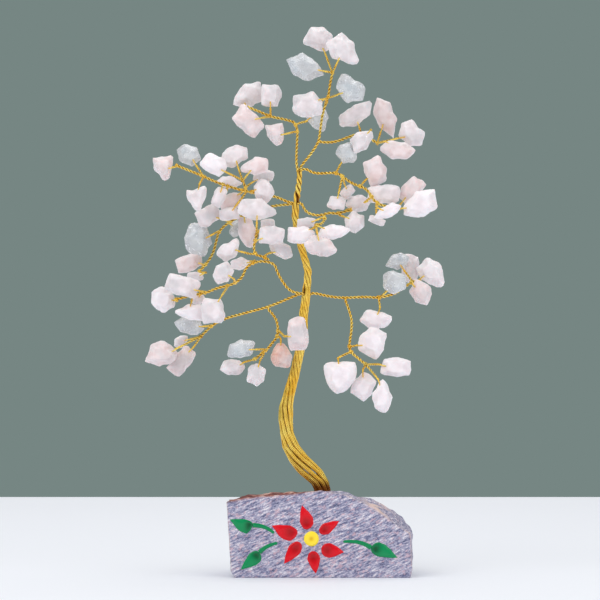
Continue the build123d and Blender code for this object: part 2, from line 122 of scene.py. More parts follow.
# %% Table
# How far the table reaches to the sides and to the front, and where its far edge is, in metres.
TABLE_REACH = 3
TABLE_EDGE = 0.466
table_mesh = bpy.data.meshes.new("table")
sides = ((-TABLE_REACH, -TABLE_REACH), (TABLE_REACH, -TABLE_REACH), (TABLE_REACH, TABLE_EDGE),
         (-TABLE_REACH, TABLE_EDGE))
table_mesh.from_pydata([(x, y, 0) for x, y in sides], [], [(0, 1, 2, 3)])
table = bpy.data.objects.new("table", table_mesh)
scene.collection.objects.link(table)
table_white, _, shader = new_finish("table white")
shader.inputs["Base Color"].default_value = tint(240, 243, 250)
shader.inputs["Roughness"].default_value = 0.6
shader.inputs["Specular IOR Level"].default_value = 0.2
table_mesh.materials.append(table_white)
table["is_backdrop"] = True
print("table finish:", table_white.name)

# %% Wall and daylight
world = bpy.data.worlds.new("wall and daylight")
scene.world = world
world.use_nodes = True
nodes, links = world.node_tree.nodes, world.node_tree.links
daylight = nodes["Background"]
daylight.inputs["Color"].default_value = (1, 0.99, 0.98, 1)
daylight.inputs["Strength"].default_value = 0.62
wall = nodes.new("ShaderNodeBackground")
wall.inputs["Color"].default_value = tint(118, 134, 131)
rays = nodes.new("ShaderNodeLightPath")
seen = rays.outputs["Is Camera Ray"]
for kind in ("Is Glossy Ray", "Is Transmission Ray"):
    either = nodes.new("ShaderNodeMath")
    either.operation = "MAXIMUM"
    links.new(seen, either.inputs[0])
    links.new(rays.outputs[kind], either.inputs[1])
    seen = either.outputs[0]
choose = nodes.new("ShaderNodeMixShader")
links.new(seen, choose.inputs[0])
links.new(daylight.outputs[0], choose.inputs[1])
links.new(wall.outputs[0], choose.inputs[2])
links.new(choose.outputs[0], nodes["World Output"].inputs["Surface"])
print("world:", world.name)


# %% Lamps
def soft_lamp(name, place, size, watts):
    """A square lamp that faces the middle of the tree."""
    lamp = bpy.data.objects.new(name, bpy.data.lights.new(name, "AREA"))
    lamp.data.size, lamp.data.energy = size, watts
    lamp.location = place
    lamp.rotation_euler = (Vector((0, 0, 0.1)) - lamp.location).to_track_quat("-Z", "Y").to_euler()
    scene.collection.objects.link(lamp)


soft_lamp("window lamp", (-0.8, -0.9, 1.0), 1.3, 9.5)
soft_lamp("fill lamp", (0.9, -0.9, 0.6), 1.3, 5)
soft_lamp("top lamp", (0.1, 0.3, 1.2), 1.0, 4)

# %% [markdown]
# ## Gold wire
# The wire is soft craft wire with a bright gold-coloured skin. It is a metal, so its colour is in its
# reflections. A fine noise in the roughness breaks up the mirror shine, as the drawn and handled wire
# does. Little light gets into the grooves between twisted wires, so a mark on each point of the mesh
# says how far it faces out of its twist, and the points that face in are darker.


# %% Building blocks for finishes
def speckle(tree, scale, detail=3, stretch=(1, 1, 1), turn=(0, 0, 0)):
    """A noise on the piece's own coordinates, with a mapping that turns it and draws it out."""
    place = tree.nodes.new("ShaderNodeTexCoord")
    mapping = tree.nodes.new("ShaderNodeMapping")
    mapping.vector_type = "TEXTURE"
    mapping.inputs["Rotation"].default_value = [radians(angle) for angle in turn]
    mapping.inputs["Scale"].default_value = stretch
    grain = tree.nodes.new("ShaderNodeTexNoise")
    grain.inputs["Scale"].default_value = scale
    grain.inputs["Detail"].default_value = detail
    tree.links.new(place.outputs["Object"], mapping.inputs["Vector"])
    tree.links.new(mapping.outputs[0], grain.inputs["Vector"])
    return grain.outputs["Fac"]


def ramp(tree, value, stops):
    """Turns a value into colours: each stop is a place from 0 to 1 and a colour."""
    node = tree.nodes.new("ShaderNodeValToRGB")
    while len(node.color_ramp.elements) < len(stops):
        node.color_ramp.elements.new(0.5)
    for element, (place, colour) in zip(node.color_ramp.elements, stops):
        element.position = place
        element.color = colour
    tree.links.new(value, node.inputs["Fac"])
    return node.outputs["Color"]


def level(value):
    """A grey for a ramp that drives a number."""
    return (value, value, value, 1)


def relief(tree, shader, value, strength, distance):
    """Lets a noise roughen the surface in the shading."""
    bump = tree.nodes.new("ShaderNodeBump")
    bump.inputs["Strength"].default_value = strength
    bump.inputs["Distance"].default_value = distance
    tree.links.new(value, bump.inputs["Height"])
    tree.links.new(bump.outputs[0], shader.inputs["Normal"])


def blend(tree, share, first, second):
    """Two colours mixed by a value from 0 to 1; either colour can be a socket."""
    mix = tree.nodes.new("ShaderNodeMix")
    mix.data_type = "RGBA"
    tree.links.new(share, mix.inputs["Factor"])
    for socket, colour in ((mix.inputs[6], first), (mix.inputs[7], second)):
        if isinstance(colour, (list, tuple)):
            socket.default_value = colour
        else:
            tree.links.new(colour, socket)
    return mix.outputs[2]


def mark_of(tree, name):
    """A value that was written on the points of the mesh."""
    mark = tree.nodes.new("ShaderNodeAttribute")
    mark.attribute_name = name
    return mark.outputs["Fac"]


print("building blocks:", [block.__name__ for block in (speckle, ramp, level, relief, blend, mark_of)])

# %% Gold wire finish
gold_wire, tree, shader = new_finish("gold wire")
shader.inputs["Metallic"].default_value = 0.6
grain = speckle(tree, 240)
bright = ramp(tree, grain, [(0.3, tint(248, 192, 54)), (0.7, tint(255, 226, 112))])
# Painted shade: points that face into a twist are mixed towards a dark brown.
out_of_shade = ramp(tree, mark_of(tree, "outer"), [(0.25, level(0)), (0.85, level(1))])
tree.links.new(blend(tree, out_of_shade, tint(128, 72, 8), bright), shader.inputs["Base Color"])
tree.links.new(ramp(tree, grain, [(0.3, level(0.14)), (0.7, level(0.24))]), shader.inputs["Roughness"])
print("finish:", gold_wire.name)

# %% [markdown]
# ## Centre lines from the solids
# Every wire of the solid model is a six-sided rod, so the middle of each ring of corners is a point on
# the wire's centre line. Reading those points back means that the wire layout is kept in one place
# only. A copy of each node is merged first, because its triangles come loose.


# %% Centre lines
def solids_of(name):
    """The separate solids of a node, each as the merged corners and edges of one copy."""
    work = bmesh.new()
    work.from_mesh(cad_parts[name].data)
    bmesh.ops.remove_doubles(work, verts=work.verts, dist=2e-6)
    work.verts.ensure_lookup_table()
    work.verts.index_update()
    seen, solids = set(), []
    for first in work.verts:
        if first in seen:
            continue
        group, queue = [], [first]
        seen.add(first)
        while queue:
            corner = queue.pop()
            group.append(corner)
            for edge in corner.link_edges:
                other = edge.other_vert(corner)
                if other not in seen:
                    seen.add(other)
                    queue.append(other)
        solids.append(group)
    return work, solids


def middle_of(corners):
    """The mean place of some corners, added in a fixed order, so that each run gives the same."""
    return sum((v.co for v in sorted(corners, key=lambda v: v.index)), Vector()) / len(corners)


def end_face(corners):
    """The six corners of the flat end of a rod: they lie on one small circle."""
    for corner in corners:
        for face in corner.link_faces:
            level_with = set(face.verts)
            for _ in range(2):
                for v in list(level_with):
                    for other in v.link_faces:
                        if other.normal.dot(face.normal) > 0.9999:
                            level_with.update(other.verts)
            middle = middle_of(level_with)
            reach = [(v.co - middle).length for v in level_with]
            if len(reach) == 6 and max(reach) < 0.6 * MM and max(reach) - min(reach) < 0.01 * MM:
                return level_with, max(reach)


def centre_line(corners):
    """The middles of the rings of a rod, from its one end to the other, and its radius."""
    ring, radius = end_face(corners)
    rings, used = [], set(ring)
    while ring:
        rings.append(middle_of(ring))
        ring = {edge.other_vert(v) for v in ring for edge in v.link_edges} - used
        used |= ring
    return rings, radius


work, solids = solids_of("crown_wires")
print("crown:", len(solids), "wires,", [len(centre_line(solid)[0]) for solid in solids], "rings")
work.free()

# %% [markdown]
# ## The wire lay
# A branch is two wires twisted together; a trunk strand is several that are twisted only a little. Both
# follow one rule, so one Geometry Nodes tree makes them: it copies a centre line once for each wire,
# pushes each copy sideways by the lay radius, turns that push as it goes along, and gives the line a
# round section. With one wire and no lay radius, the same tree makes a plain loop. Thinning draws the
# wires closer together towards the end of a line.


# %% The wire lay tree
def wire_lay_tree():
    tree = bpy.data.node_groups.new("wire lay", "GeometryNodeTree")
    face = tree.interface
    face.new_socket("Geometry", in_out="INPUT", socket_type="NodeSocketGeometry")
    for name, kind in (("Wires", "NodeSocketInt"), ("Lay radius", "NodeSocketFloat"),
                       ("Pitch", "NodeSocketFloat"), ("Wire radius", "NodeSocketFloat"),
                       ("Step", "NodeSocketFloat"), ("Thinning", "NodeSocketFloat"),
                       ("Finish", "NodeSocketMaterial")):
        face.new_socket(name, in_out="INPUT", socket_type=kind)
    face.new_socket("Geometry", in_out="OUTPUT", socket_type="NodeSocketGeometry")

    def node(kind, **settings):
        made = tree.nodes.new(kind)
        for key, value in settings.items():
            setattr(made, key, value)
        return made

    def sum_of(operation, first, second):
        made = node("ShaderNodeMath", operation=operation)
        for socket, value in zip(made.inputs, (first, second)):
            if isinstance(value, (int, float)):
                socket.default_value = value
            else:
                tree.links.new(value, socket)
        return made.outputs[0]

    given, result = node("NodeGroupInput").outputs, node("NodeGroupOutput")
    line = node("GeometryNodeMeshToCurve")
    even = node("GeometryNodeResampleCurve", mode="LENGTH")
    copies = node("GeometryNodeDuplicateElements", domain="SPLINE")
    way = node("GeometryNodeSplineParameter").outputs
    along = way["Length"]
    share = sum_of("DIVIDE", copies.outputs["Duplicate Index"], given["Wires"])
    angle = sum_of("MULTIPLY", sum_of("ADD", share, sum_of("DIVIDE", along, given["Pitch"])), 2 * pi)
    thinner = sum_of("SUBTRACT", 1, sum_of("MULTIPLY", given["Thinning"], way["Factor"]))
    spread = sum_of("MULTIPLY", given["Lay radius"], thinner)
    swing = node("ShaderNodeVectorRotate", rotation_type="AXIS_ANGLE")
    push = node("ShaderNodeVectorMath", operation="SCALE")
    place = node("GeometryNodeSetPosition")
    section = node("GeometryNodeCurvePrimitiveCircle")
    section.inputs["Resolution"].default_value = 8
    skin = node("GeometryNodeCurveToMesh")
    skin.inputs["Fill Caps"].default_value = True
    round_off = node("GeometryNodeSetShadeSmooth")
    real = node("GeometryNodeRealizeInstances")
    coat = node("GeometryNodeSetMaterial")
    join = tree.links.new
    join(given["Geometry"], line.inputs["Mesh"])
    join(line.outputs["Curve"], even.inputs["Curve"])
    join(given["Step"], even.inputs["Length"])
    join(even.outputs["Curve"], copies.inputs["Geometry"])
    join(given["Wires"], copies.inputs["Amount"])
    join(node("GeometryNodeInputNormal").outputs[0], swing.inputs["Vector"])
    join(node("GeometryNodeInputTangent").outputs[0], swing.inputs["Axis"])
    join(angle, swing.inputs["Angle"])
    join(swing.outputs[0], push.inputs[0])
    join(spread, push.inputs["Scale"])
    join(copies.outputs["Geometry"], place.inputs["Geometry"])
    join(push.outputs[0], place.inputs["Offset"])
    join(given["Wire radius"], section.inputs["Radius"])
    join(place.outputs["Geometry"], skin.inputs["Curve"])
    join(section.outputs["Curve"], skin.inputs["Profile Curve"])
    join(skin.outputs["Mesh"], round_off.inputs["Geometry"])
    join(round_off.outputs["Geometry"], real.inputs["Geometry"])
    join(real.outputs["Geometry"], coat.inputs["Geometry"])
    join(given["Finish"], coat.inputs["Material"])
    join(coat.outputs["Geometry"], result.inputs["Geometry"])
    return tree


WIRE_LAY = wire_lay_tree()
print("inputs:", [socket.name for socket in WIRE_LAY.interface.items_tree if socket.in_out == "INPUT"])


# %% Laying wires
def plain_mesh(item):
    """The evaluated shape of an object as a mesh of its own; the object goes."""
    bpy.context.view_layer.update()
    shape = bpy.data.meshes.new_from_object(item.evaluated_get(bpy.context.evaluated_depsgraph_get()))
    old = item.data
    bpy.data.objects.remove(item)
    bpy.data.meshes.remove(old)
    return shape


def finder(spots):
    """A tree that finds the nearest of some points."""
    tree = kdtree.KDTree(len(spots))
    for number, spot in enumerate(spots):
        tree.insert(spot, number)
    tree.balance()
    return tree


# How closely a route is divided to find the nearest middle of a twist, in millimetres.
MARK_STEP = 0.2


def mark_outer(shape, routes, step):
    """Writes how far each point of the wires faces away from the middle of its twist, up to 1."""
    spots = []
    for route in routes:
        for near, far in zip(route, route[1:]):
            count = max(int((far - near).length / step), 1)
            spots += [near.lerp(far, i / count) for i in range(count)]
        spots.append(route[-1])
    middles = finder(spots)
    values = []
    for vertex in shape.vertices:
        off = vertex.co - middles.find(vertex.co)[0]
        values.append(off.normalized().dot(vertex.normal))
    shape.attributes.new("outer", "FLOAT", "POINT").data.foreach_set("value", values)
    return shape


def lay_wires(routes, wires, lay, pitch, radius, step, finish, thinning=0):
    """Wires along some routes, as one mesh, in millimetres; thinning draws the far end together."""
    lines = bpy.data.meshes.new("routes")
    points, edges = [], []
    for route in routes:
        edges += [(len(points) + i, len(points) + i + 1) for i in range(len(route) - 1)]
        points += route
    lines.from_pydata(points, edges, [])
    item = bpy.data.objects.new("routes", lines)
    scene.collection.objects.link(item)
    modifier = item.modifiers.new("wire lay", "NODES")
    modifier.node_group = WIRE_LAY
    values = {"Wires": wires, "Lay radius": lay * MM, "Pitch": pitch * MM, "Wire radius": radius * MM,
              "Step": step * MM, "Thinning": float(thinning), "Finish": finish}
    for socket in WIRE_LAY.interface.items_tree:
        if socket.in_out == "INPUT" and socket.name in values:
            modifier[socket.identifier] = values[socket.name]
    return mark_outer(plain_mesh(item), routes, MARK_STEP * MM)


print("wires are laid by:", WIRE_LAY.name)

# %% [markdown]
# ## Trunk
# The trunk is all the branch wires gathered in one loose rope. It comes out of the block as a flat,
# open bundle, leans to the left, straightens, and gets thinner at each junction, where branches leave
# it. Each strand of the solid becomes seven fine wires with a long lay, so that the bundle looks like
# many parallel wires rather than a few thick rods. The wire is darker towards the foot.


# %% Helpers for pieces
def rounded(route, times=2):
    """A route with its corners cut, again and again, so that it runs in a smooth curve."""
    for _ in range(times):
        cut = [route[0]]
        for near, far in zip(route, route[1:]):
            cut += [near.lerp(far, 0.25), near.lerp(far, 0.75)]
        route = cut + [route[-1]]
    return route


def finished(name, shape, body, slot, *replaced):
    """A finished piece: it rides its body and stands for its solids."""
    shape.name = name
    item = bpy.data.objects.new(name, shape)
    scene.collection.objects.link(item)
    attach(item, body)
    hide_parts(*replaced)
    return item


def merged(shapes):
    """Several meshes as one; their finishes stay with their faces."""
    whole = bmesh.new()
    finishes = []
    for shape in shapes:
        for finish in shape.materials:
            if finish not in finishes:
                finishes.append(finish)
        start = len(whole.faces)
        whole.from_mesh(shape)
        whole.faces.ensure_lookup_table()
        for face in whole.faces[start:]:
            face.material_index = finishes.index(shape.materials[face.material_index])
    result = bpy.data.meshes.new("merged")
    whole.to_mesh(result)
    whole.free()
    for finish in finishes:
        result.materials.append(finish)
    for shape in shapes:
        bpy.data.meshes.remove(shape)
    return result


print("helpers:", [helper.__name__ for helper in (rounded, finished, merged)])


# %% Trunk strands
def level_line(corners):
    """The centre line of a trunk strand: its rings of corners lie level, one above the other."""
    heights = {}
    for corner in corners:
        heights.setdefault(round(corner.co.z / (0.02 * MM)), []).append(corner.co)
    rings = [sum(ring, Vector()) / len(ring) for ring in heights.values() if len(ring) >= 6]
    return sorted(rings, key=lambda point: point.z)


work, solids = solids_of("trunk_wires")
strands = [level_line(solid) for solid in solids]
work.free()
print("trunk strands:", [len(strand) for strand in strands])

# %% The rope
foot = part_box("epoxy_fill")[1].z
# The rope has extra whole turns between two heights above the foot, so strands still leave in place.
TURNS = ((38, 71, 1), (74, 103, 1), (106, 115, 1))
# The bundle spreads into a ribbon at two heights: height, reach and how much wider it is there.
RIBBON = ((8, 7.5, 0.55), (29, 4, 0.2))
# Above the bow the strands are pulled together: from one height to another, and to what share.
PULLED = (34, 56, 0.75)
# The strands lie open at the foot; from this height on, the painted shade in the grooves between them is at
# full strength.
ROPE_FROM = 40
# A strand with its wires has about this radius, in millimetres.
STRAND_RADIUS = 0.7
# The wire gets darker towards the foot, below this height.
DARKER_FOOT = 5


def trunk_axis(height):
    """The middle of all the strands that reach a height."""
    spots = []
    for strand in strands:
        for near, far in zip(strand, strand[1:]):
            if near.z <= height <= far.z and far.z > near.z:
                spots.append(near.lerp(far, (height - near.z) / (far.z - near.z)))
                break
    return sum(spots, Vector()) / len(spots) if spots else Vector((0, 0, height))


def wound(strand):
    """A strand with its short straight runs divided, and with the extra turns of the rope."""
    route = []
    for near, far in zip(strand, strand[1:]):
        route += [near.lerp(far, step / 8) for step in range(8)]
    turned = []
    for point in route + [strand[-1]]:
        height = (point.z - foot) / MM
        turn = sum(turns * clamp((height - low) / (high - low)) for low, high, turns in TURNS)
        axis = trunk_axis(point.z)
        off = Matrix.Rotation(-2 * pi * turn, 3, "Z") @ (point - axis)
        low, high, share = PULLED
        off *= 1 + (share - 1) * clamp((height - low) / (high - low))
        off.x *= 1 + sum(more * exp(-((height - middle) / reach) ** 2) for middle, reach, more in RIBBON)
        turned.append(axis + off)
    return rounded(turned, 1)


routes = [wound(strand) for strand in strands]
print("rope routes:", [len(route) for route in routes], "points")

# %% Trunk
trunk = lay_wires(routes, wires=7, lay=0.58, pitch=120, radius=0.25, step=0.65, finish=gold_wire,
                  thinning=0.5)
# Painted shade in the grooves between the strands: points of the rope that face inwards are marked darker.
spots = [spot for route in routes for spot in route]
outward = [(spot - trunk_axis(spot.z)).normalized() for spot in spots]
middles = finder(spots)
outer = trunk.attributes["outer"].data
for vertex in trunk.vertices:
    spot, number, _ = middles.find(vertex.co)
    crest = (vertex.co - spot).dot(outward[number]) / (STRAND_RADIUS * MM)
    height = (vertex.co.z - foot) / MM
    twisted = clamp(height / ROPE_FROM, 0.4)
    groove_shade = 1 - clamp(0.45 + 0.85 * crest, 0.2)
    # The wire also gets darker towards the foot.
    outer[vertex.index].value *= (1 - twisted * groove_shade) * clamp(height / DARKER_FOOT, 0.2)
finished("trunk", trunk, "tree", "brass_wire", "trunk_wires")
print("trunk faces:", len(trunk.polygons))

# %% [markdown]
# ## Branches and loops
# A branch is a tightly twisted pair. Each chip hangs on a hairpin of one wire: it goes through the
# drilled hole, and its two legs are twisted together down to the branch. The legs are laid as a
# twisted pair from the branch to the mouth of the loop, and the loop itself is one plain wire. Where a
# loop leaves the branch, its wire goes round the branch once or twice, which makes a small knot there.


# %% Knots
def nearest_on(route, point):
    """The place on a route that is nearest to a point."""
    best = None
    for near, far in zip(route, route[1:]):
        run = far - near
        share = clamp((point - near).dot(run) / run.length_squared)
        spot = near + run * share
        if best is None or (spot - point).length < (best - point).length:
            best = spot
    return best


# A knot: its turns round the branch, the points along them, its length and its radius in millimetres.
KNOT_TURNS = 1.75
KNOT_STEPS = 24
KNOT_LENGTH = 0.95
KNOT_RADIUS = 0.6


def knot(route, point):
    """The turns of wire round a branch beside a point."""
    spot = nearest_on(route, point)
    number = min(range(len(route)), key=lambda i: (route[i] - spot).length)
    along = (route[min(number + 1, len(route) - 1)] - route[max(number - 1, 0)]).normalized()
    side = along.orthogonal().normalized() * (KNOT_RADIUS * MM)
    turns = []
    for step in range(KNOT_STEPS + 1):
        share = step / KNOT_STEPS
        swing = Matrix.Rotation(2 * pi * KNOT_TURNS * share, 3, along) @ side
        turns.append(spot + swing + along * ((share - 0.5) * KNOT_LENGTH * MM))
    return turns


print("turns of a knot:", KNOT_TURNS)

# %% Stems and hairpins
wire_nodes = [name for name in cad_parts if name.endswith("_wires") and name != "trunk_wires"]
SPRAYS = sorted(name.removesuffix("_wires") for name in wire_nodes)
# The stem of a spray is its thickest rod, and a hairpin is under this share of its girth.
HAIRPIN_GIRTH = 0.8
# A stem that starts this near to another one is drawn on to it, from and to, in millimetres.
JOINED_FROM, JOINED_TO = 0.2, 2
stems = {}
hairpins = {}
for name in SPRAYS:
    work, solids = solids_of(f"{name}_wires")
    rods = [centre_line(solid) for solid in solids]
    work.free()
    thick = max(girth for _, girth in rods)
    stems[name] = [rounded(line, 3) for line, girth in rods if girth > HAIRPIN_GIRTH * thick][0]
    hairpins[name] = [line for line, girth in rods if girth <= HAIRPIN_GIRTH * thick]
for name in SPRAYS:
    start = stems[name][0]
    others = [nearest_on(stems[other], start) for other in SPRAYS if other != name]
    carrier = min(others, key=lambda spot: (spot - start).length)
    if JOINED_FROM * MM < (carrier - start).length < JOINED_TO * MM:
        stems[name].insert(0, carrier)
print("sprays:", len(SPRAYS), "with", sum(len(pins) for pins in hairpins.values()), "hairpins")

# %% Branches and loops
for name in SPRAYS:
    legs, loops, knots = [], [], []
    for pin in hairpins[name]:
        mouth = (pin[1] + pin[-2]) / 2
        root = (pin[0] + pin[-1]) / 2
        inside = mouth.lerp(pin[2].lerp(pin[3], 0.5), 0.15)
        legs.append(rounded([nearest_on(stems[name], root), root, mouth, inside]))
        loops.append(rounded([pin[1].lerp(pin[0], 0.3), *pin[1:5], pin[4].lerp(pin[5], 0.3)], 3))
        knots.append(knot(stems[name], root))
    stem = lay_wires([stems[name]], wires=2, lay=0.26, pitch=2.9, radius=0.26, step=0.24, finish=gold_wire)
    legs = lay_wires(legs, wires=2, lay=0.22, pitch=2.2, radius=0.22, step=0.2, finish=gold_wire)
    rings = lay_wires(loops, wires=1, lay=0, pitch=1, radius=0.22, step=0.3, finish=gold_wire)
    knots = lay_wires(knots, wires=1, lay=0, pitch=1, radius=0.2, step=0.25, finish=gold_wire)
    branch = merged([stem, legs, rings, knots])
    finished(f"{name}_branch", branch, "tree", "brass_wire", f"{name}_wires")
    print(name, "loops:", len(loops), "faces:", len(branch.polygons))

# %% [markdown]
# ## Quartz
# Most chips are milky rose quartz: pale, a little pink, and so cloudy that light goes in and comes out
# again nearby, which is what subsurface scattering does. Some are almost clear, and show what is
# behind them as a grey blur, so they get a finish that lets light through. Some are nearly white, and
# one is peach.


# %% Quartz finishes
def quartz(name, pale, deep, edge, clear, rough, veiled=0.6):
    """A quartz finish: two tones in clouds, grey veils, a painted highlight on the rim, and how much light
    goes through.
    """
    finish, tree, shader = new_finish(name)
    clouds = ramp(tree, speckle(tree, 330, 3), [(0.34, deep), (0.6, pale)])
    veil = ramp(tree, speckle(tree, 150, 2), [(0.46, level(0)), (0.64, level(veiled))])
    clouds = blend(tree, veil, clouds, tint(208, 206, 209))
    # Painted highlight: where a chip faces sideways, at its thin rim, the colour is mixed towards the paler
    # rim colour.
    rim = ramp(tree, mark_of(tree, "rim"), [(0.25, level(0)), (0.9, level(0.95))])
    tree.links.new(blend(tree, rim, clouds, edge), shader.inputs["Base Color"])
    tree.links.new(ramp(tree, speckle(tree, 700, 3), [(0.35, level(rough)), (0.7, level(rough + 0.16))]),
                   shader.inputs["Roughness"])
    shader.inputs["IOR"].default_value = 1.54
    shader.inputs["Transmission Weight"].default_value = clear
    shader.inputs["Subsurface Weight"].default_value = 0.45 if clear < 0.2 else 0
    shader.inputs["Subsurface Radius"].default_value = (1, 0.8, 0.8)
    shader.inputs["Subsurface Scale"].default_value = 1.6 * MM
    relief(tree, shader, speckle(tree, 260, 1), 0.15, 0.5 * MM)
    return finish


# The third colour of each quartz is its painted rim highlight.
milky = quartz("milky rose quartz", tint(243, 235, 238), tint(226, 216, 218), tint(251, 247, 250), 0.1, 0.3)
pink = quartz("pink rose quartz", tint(242, 228, 229), tint(229, 208, 207), tint(249, 241, 244), 0.1, 0.3)
clear = quartz("clear quartz", tint(238, 240, 243), tint(214, 220, 226), tint(250, 251, 252), 0.34, 0.16)
white = quartz("white quartz", tint(247, 240, 244), tint(236, 227, 231), tint(251, 247, 250), 0.05, 0.3, 0.2)
peach = quartz("peach quartz", tint(240, 207, 196), tint(222, 164, 146), tint(247, 226, 218), 0.1, 0.3)
print("quartz:", milky.name, pink.name, clear.name, white.name, peach.name)

# %% [markdown]
# ## Tumbled chips
# A chip is a broken splinter of stone that was tumbled until its edges were round. Its solid gives the
# place, the thickness, the lean and the outline. The outline is read as the distance from the middle to
# the rim in many directions. A skin goes through five rings of it, full size at the rim and smaller and
# uneven towards the two faces. A fine even mesh is laid over it and smoothed, as tumbling does, and a
# Geometry Nodes tree then pushes the surface in and out with a noise, so that no two chips are alike.


# %% The tumbling tree
def tumble_tree():
    tree = bpy.data.node_groups.new("tumbled stone", "GeometryNodeTree")
    face = tree.interface
    face.new_socket("Geometry", in_out="INPUT", socket_type="NodeSocketGeometry")
    for name in ("Wave", "Depth", "Seed"):
        face.new_socket(name, in_out="INPUT", socket_type="NodeSocketFloat")
    face.new_socket("Finish", in_out="INPUT", socket_type="NodeSocketMaterial")
    face.new_socket("Geometry", in_out="OUTPUT", socket_type="NodeSocketGeometry")
    given, result = tree.nodes.new("NodeGroupInput").outputs, tree.nodes.new("NodeGroupOutput")
    grain = tree.nodes.new("ShaderNodeTexNoise")
    grain.noise_dimensions = "4D"
    grain.inputs["Detail"].default_value = 2
    middle = tree.nodes.new("ShaderNodeMath")
    middle.operation = "SUBTRACT"
    middle.inputs[1].default_value = 0.5
    deep = tree.nodes.new("ShaderNodeMath")
    deep.operation = "MULTIPLY"
    push = tree.nodes.new("ShaderNodeVectorMath")
    push.operation = "SCALE"
    place = tree.nodes.new("GeometryNodeSetPosition")
    round_off = tree.nodes.new("GeometryNodeSetShadeSmooth")
    real = tree.nodes.new("GeometryNodeRealizeInstances")
    coat = tree.nodes.new("GeometryNodeSetMaterial")
    join = tree.links.new
    join(given["Wave"], grain.inputs["Scale"])
    join(given["Seed"], grain.inputs["W"])
    join(tree.nodes.new("GeometryNodeInputPosition").outputs[0], grain.inputs["Vector"])
    join(grain.outputs["Fac"], middle.inputs[0])
    join(middle.outputs[0], deep.inputs[0])
    join(given["Depth"], deep.inputs[1])
    join(tree.nodes.new("GeometryNodeInputNormal").outputs[0], push.inputs[0])
    join(deep.outputs[0], push.inputs["Scale"])
    join(given["Geometry"], place.inputs["Geometry"])
    join(push.outputs[0], place.inputs["Offset"])
    join(place.outputs[0], round_off.inputs["Geometry"])
    join(round_off.outputs[0], real.inputs["Geometry"])
    join(real.outputs[0], coat.inputs["Geometry"])
    join(given["Finish"], coat.inputs["Material"])
    join(coat.outputs[0], result.inputs["Geometry"])
    return tree


TUMBLED = tumble_tree()
print("inputs:", [socket.name for socket in TUMBLED.interface.items_tree if socket.in_out == "INPUT"])


# %% Tumbling
def tumbled(shape, grid, smooth, wave, depth, seed, finish):
    """A shape covered with an even mesh, worn and made uneven; grid and depth are in millimetres."""
    item = bpy.data.objects.new("stone", shape)
    scene.collection.objects.link(item)
    mesh_over = item.modifiers.new("even mesh", "REMESH")
    mesh_over.mode = "VOXEL"
    mesh_over.voxel_size = grid * MM
    wear = item.modifiers.new("wear", "SMOOTH")
    wear.factor = 0.5
    wear.iterations = smooth
    modifier = item.modifiers.new("tumbled stone", "NODES")
    modifier.node_group = TUMBLED
    values = {"Wave": wave, "Depth": depth * MM, "Seed": seed, "Finish": finish}
    for socket in TUMBLED.interface.items_tree:
        if socket.in_out == "INPUT" and socket.name in values:
            modifier[socket.identifier] = values[socket.name]
    return plain_mesh(item)


print("stones are tumbled by:", TUMBLED.name)

# %% The skin of a chip
RIM_STEPS = 32
# The rings of a chip: height as a share of its half thickness, and size as a share of its outline.
PEBBLE_RINGS = ((1, 0.56), (0.5, 0.86), (0, 1.06), (-0.5, 0.86), (-1, 0.56))


def stance(corners):
    """The middle of a chip, how it leans back along x and z, and half its thickness."""
    places = [corner.co for corner in corners]
    middle = Vector([(min(v[i] for v in places) + max(v[i] for v in places)) / 2 for i in range(3)])
    off = [v - middle for v in places]
    xx, zz, xz = (sum(v[i] * v[j] for v in off) for i, j in ((0, 0), (2, 2), (0, 2)))
    xy, zy = (sum(v[i] * v.y for v in off) for i in (0, 2))
    spread = xx * zz - xz * xz
    lean = Vector(((xy * zz - zy * xz) / spread, 0, (zy * xx - xy * xz) / spread))
    rise = [v.y - v.dot(lean) for v in off]
    return middle, lean, (max(rise) - min(rise)) / 2


def rim_of(corners, middle, ways):
    """How far the outline of a chip reaches from its middle in each direction."""
    flat = [Vector((corner.co.x - middle.x, corner.co.z - middle.z)) for corner in corners]
    hull = [flat[i] for i in geometry.convex_hull_2d(flat)]
    reaches = []
    for way in ways:
        reach = []
        for near, far in zip(hull, hull[1:] + hull[:1]):
            out = (far - near).orthogonal()
            if abs(out.dot(way)) > 1e-9 and out.dot(near) / out.dot(way) > 0:
                reach.append(out.dot(near) / out.dot(way))
        reaches.append(min(reach))
    return reaches


def pebble(corners, seed):
    """The skin of a chip through five rings of its outline."""
    middle, lean, half = stance(corners)
    ways = [Vector((cos(2 * pi * i / RIM_STEPS), sin(2 * pi * i / RIM_STEPS))) for i in range(RIM_STEPS)]
    rim = rim_of(corners, middle, ways)
    skin = bmesh.new()
    rings = []
    for height, size in PEBBLE_RINGS:
        ring = []
        spread = 0.2 + 0.25 * abs(height)
        for way, reach in zip(ways, rim):
            uneven = 1 + spread * noise.noise(Vector((1.5 * way.x, 1.5 * way.y + height, seed * 3.7)))
            spot = Vector((way.x, 0, way.y)) * (reach * size * uneven)
            spot.y = height * half + spot.dot(lean)
            ring.append(skin.verts.new(middle + spot))
        rings.append(ring)
    for near, far in zip(rings, rings[1:]):
        for step in range(RIM_STEPS):
            after = (step + 1) % RIM_STEPS
            skin.faces.new((near[step], near[after], far[after], far[step]))
    skin.faces.new(rings[0])
    skin.faces.new(rings[-1][::-1])
    bmesh.ops.recalc_face_normals(skin, faces=skin.faces)
    shape = bpy.data.meshes.new("pebble")
    skin.to_mesh(shape)
    skin.free()
    return shape


def mark_rim(shape):
    """Writes how far each point faces sideways, which is 1 at the thin rim and 0 on the faces."""
    mark = shape.attributes.new("rim", "FLOAT", "POINT")
    mark.data.foreach_set("value", [1 - abs(vertex.normal.y) for vertex in shape.vertices])
    return shape


print("points round a chip:", RIM_STEPS)

